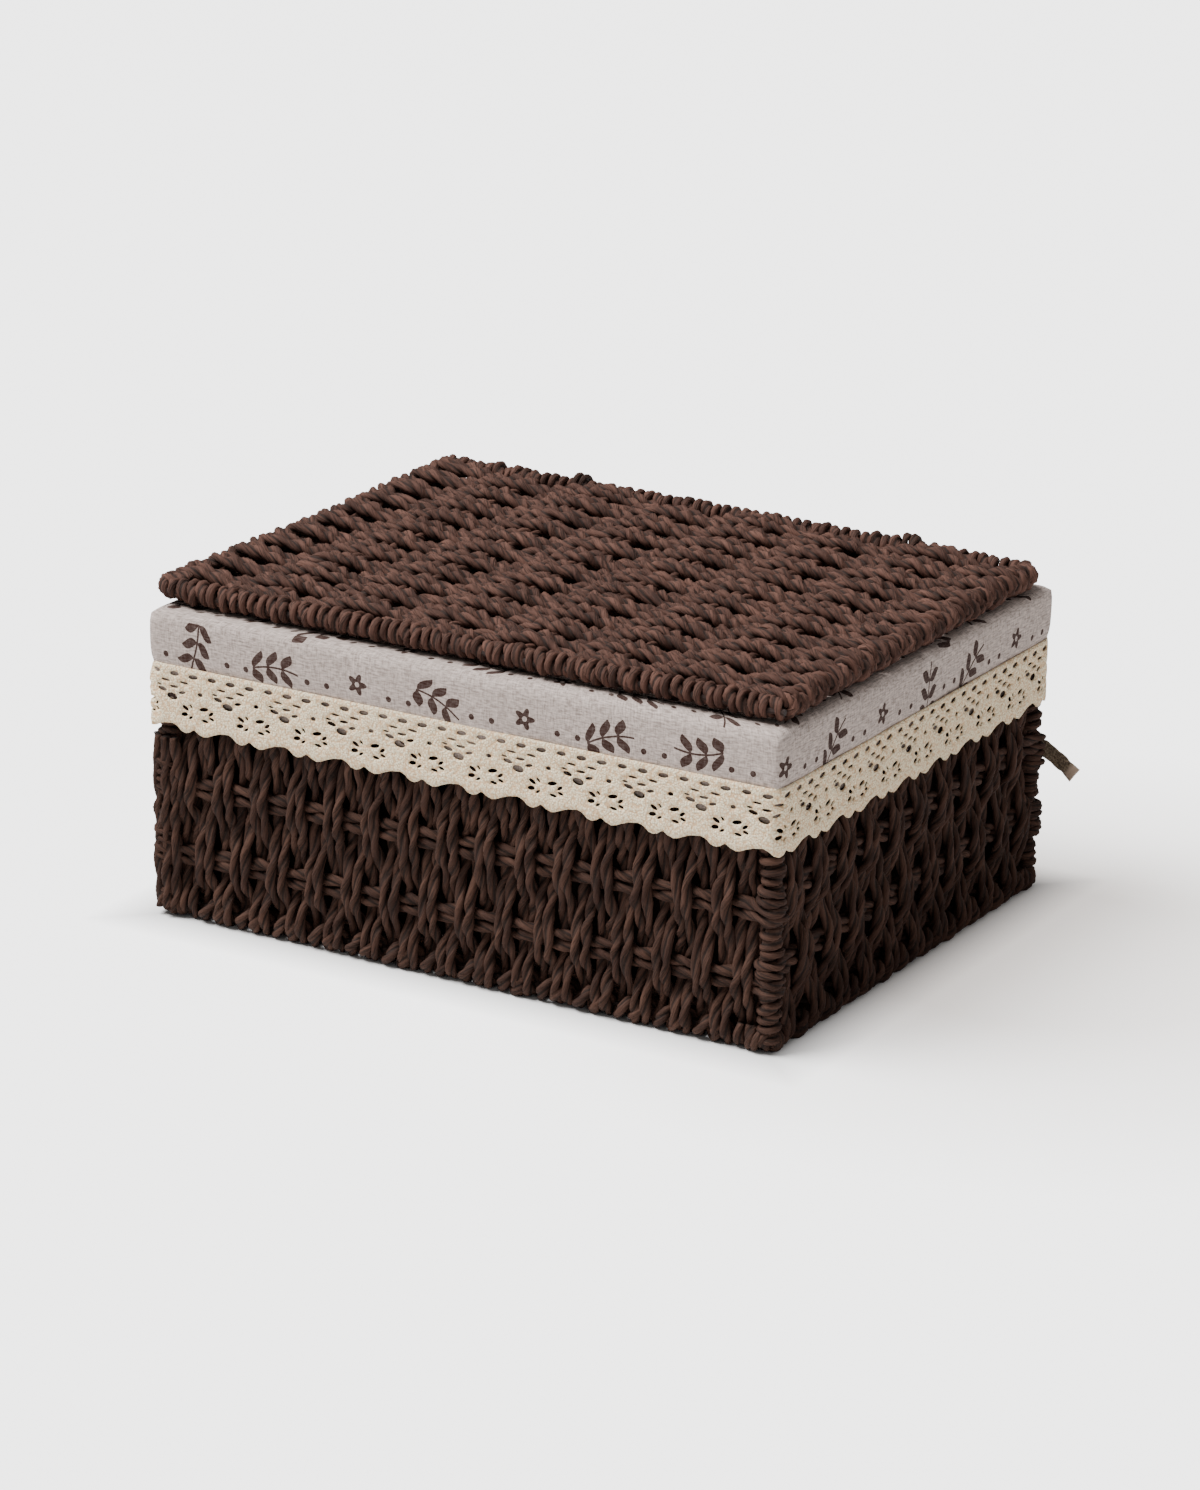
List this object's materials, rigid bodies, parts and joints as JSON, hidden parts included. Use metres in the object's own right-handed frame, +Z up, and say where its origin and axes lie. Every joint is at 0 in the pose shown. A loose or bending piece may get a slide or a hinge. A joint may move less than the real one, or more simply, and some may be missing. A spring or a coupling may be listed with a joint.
{
  "type": "paper rope storage box",
  "caption": "Lidded rectangular box woven from dark twisted paper rope, with a printed linen liner folded over the rim, a scalloped lace trim and a lid hinged on rope ties",
  "frame": {"origin": "On the floor, below the middle of the box", "axes": "+X along the long side, to the right seen from the front; +Y to the back, where the lid is tied; +Z up"},
  "size_m": [0.3637, 0.278, 0.1689],
  "materials": {
    "rope": "matte dark brown twisted paper rope",
    "lid_rope": "matte dark brown twisted paper rope, a little lighter on the lid",
    "steel_wire": "plain drawn wire",
    "linen": "pale grey-beige linen with a brown sprig print",
    "cotton_lace": "ecru crocheted cotton lace",
    "tape": "narrow brown flecked tape"
  },
  "bodies": {
    "box": {"wall_weave_front": "rope", "wall_weave_back": "rope", "wall_weave_left": "rope", "wall_weave_right": "rope", "bottom_weave": "rope", "post_wrap_front_left": "rope", "post_wrap_front_right": "rope", "post_wrap_back_left": "rope", "post_wrap_back_right": "rope", "stake_front_1": "rope", "stake_front_2": "rope", "stake_front_3": "rope", "stake_back_1": "rope", "stake_back_2": "rope", "stake_back_3": "rope", "stake_left_1": "rope", "stake_left_2": "rope", "stake_left_3": "rope", "stake_right_1": "rope", "stake_right_2": "rope", "stake_right_3": "rope", "bottom_stake_1": "rope", "bottom_stake_2": "rope", "bottom_stake_3": "rope", "bottom_stake_4": "rope", "bottom_stake_5": "rope", "bottom_stake_6": "rope", "bottom_ring_wire": "steel_wire", "top_ring_wire": "steel_wire", "bottom_wire": "steel_wire", "corner_wire_front_left": "steel_wire", "corner_wire_front_right": "steel_wire", "corner_wire_back_left": "steel_wire", "corner_wire_back_right": "steel_wire", "liner_floor": "linen", "liner_front": "linen", "liner_back": "linen", "liner_left": "linen", "liner_right": "linen", "lace_trim": "cotton_lace", "hinge_tie_left": "rope", "hinge_tie_right": "rope", "liner_tape_tail": "tape"},
    "lid": {"lid_weave": "lid_rope", "lid_rim_front": "lid_rope", "lid_rim_back_left": "lid_rope", "lid_rim_back_middle": "lid_rope", "lid_rim_back_right": "lid_rope", "lid_stake_1": "lid_rope", "lid_stake_2": "lid_rope", "lid_stake_3": "lid_rope", "lid_stake_4": "lid_rope", "lid_stake_5": "lid_rope", "lid_stake_6": "lid_rope", "lid_wire_front": "steel_wire", "lid_wire_back": "steel_wire", "lid_wire_left": "steel_wire", "lid_wire_right": "steel_wire"}
  },
  "joints": [
    {"name": "lid_hinge", "type": "hinge", "parent": "box", "child": "lid", "pos_m": [0, 0.12641, 0.16235], "axis": [-1, 0, 0], "range_deg": [0, 110]}
  ]
}
